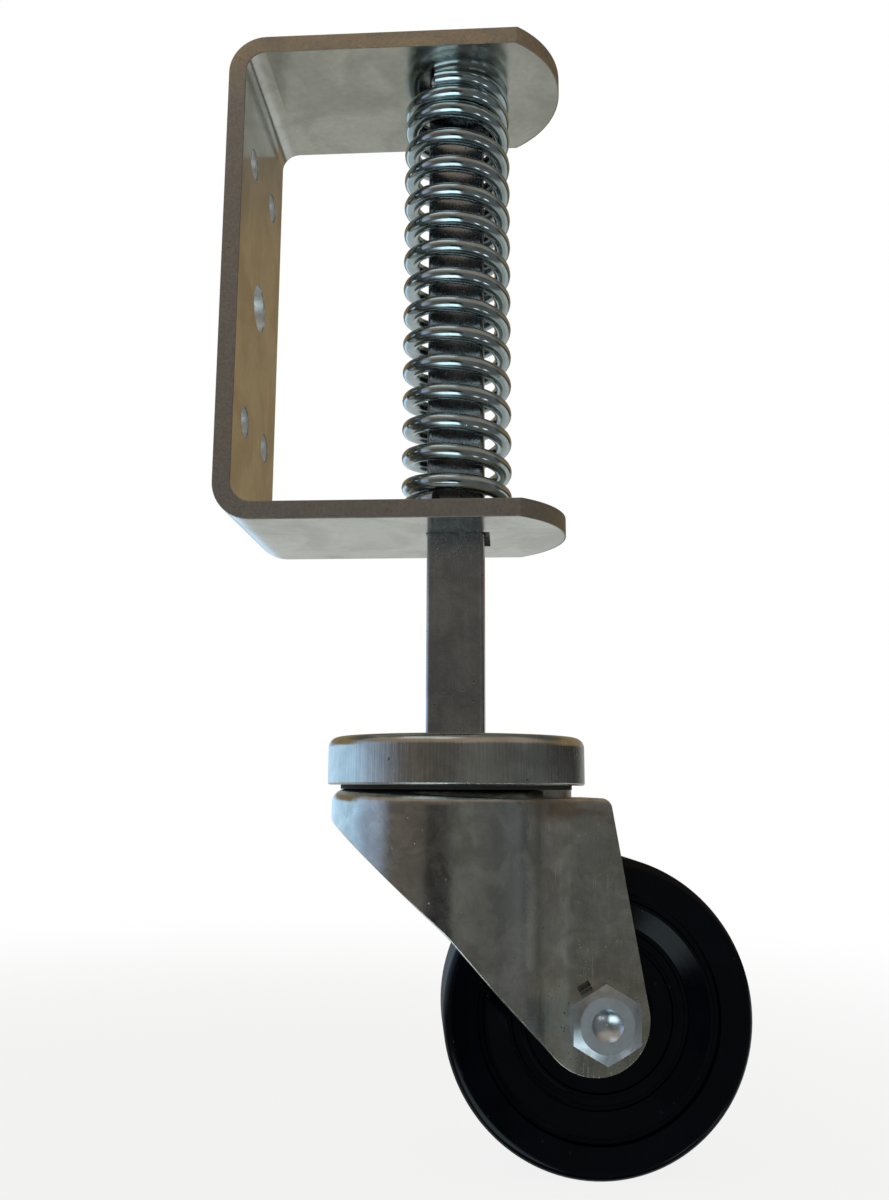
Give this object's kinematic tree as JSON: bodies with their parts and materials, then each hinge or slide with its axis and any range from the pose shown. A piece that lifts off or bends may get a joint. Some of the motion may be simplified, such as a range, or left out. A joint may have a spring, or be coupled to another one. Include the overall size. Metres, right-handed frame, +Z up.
{
  "type": "sprung gate wheel",
  "caption": "Spring-loaded gate wheel: C bracket, square stem sliding against a coil spring, swivel fork and hard rubber wheel.",
  "frame": {"origin": "centre of the bracket's gate-side face", "axes": "+X away from the gate, +Z up along the stem's slide, +Y completes the frame"},
  "size_m": [0.1771, 0.088, 0.3984],
  "materials": {
    "zinc_bar": "satin zinc plate",
    "zinc_sheet": "satin zinc plate",
    "spring_wire": "bright zinc plate",
    "weld": "rough plated",
    "bolt_zinc": "bright zinc plate",
    "race_steel": "ground",
    "ball_steel": "polished",
    "seal_rubber": "matte",
    "tyre_rubber": "hard, glossy",
    "core_plastic": "gloss",
    "cage_plastic": "matte"
  },
  "bodies": {
    "frame": {"bracket": "zinc_bar", "spring": "spring_wire"},
    "stem": {"stem": "zinc_bar", "spring_seat": "zinc_sheet", "seat_welds": "weld", "swivel_cap": "zinc_sheet", "upper_race": "race_steel", "king_bolt": "bolt_zinc", "bottom_cup": "race_steel"},
    "fork": {"fork": "zinc_sheet", "crown_race": "race_steel", "dust_seal": "seal_rubber", "main_balls": "ball_steel", "lower_race": "race_steel", "lower_balls": "ball_steel", "axle_bolt": "bolt_zinc", "axle_nut": "bolt_zinc", "axle_sleeve": "race_steel", "thrust_washers": "race_steel"},
    "wheel": {"tyre": "tyre_rubber", "wheel_core": "core_plastic", "bearing_shell": "race_steel", "rollers": "ball_steel", "roller_cage": "cage_plastic"}
  },
  "joints": [
    {"name": "stem_slide", "type": "slide", "parent": "frame", "child": "stem", "axis": [0, 0, 1], "range_m": [0, 0.062], "stiffness_N_per_m": 24000, "springref_m": -0.005, "deforming": ["spring"]},
    {"name": "swivel", "type": "hinge", "parent": "stem", "child": "fork", "pos_m": [0.081, 0, -0.1784], "axis": [0, 0, 1], "continuous": true},
    {"name": "wheel_spin", "type": "hinge", "parent": "fork", "child": "wheel", "pos_m": [0.12611, 0.00415, -0.2494], "axis": [-0.0915, 0.9958, 0], "continuous": true}
  ]
}
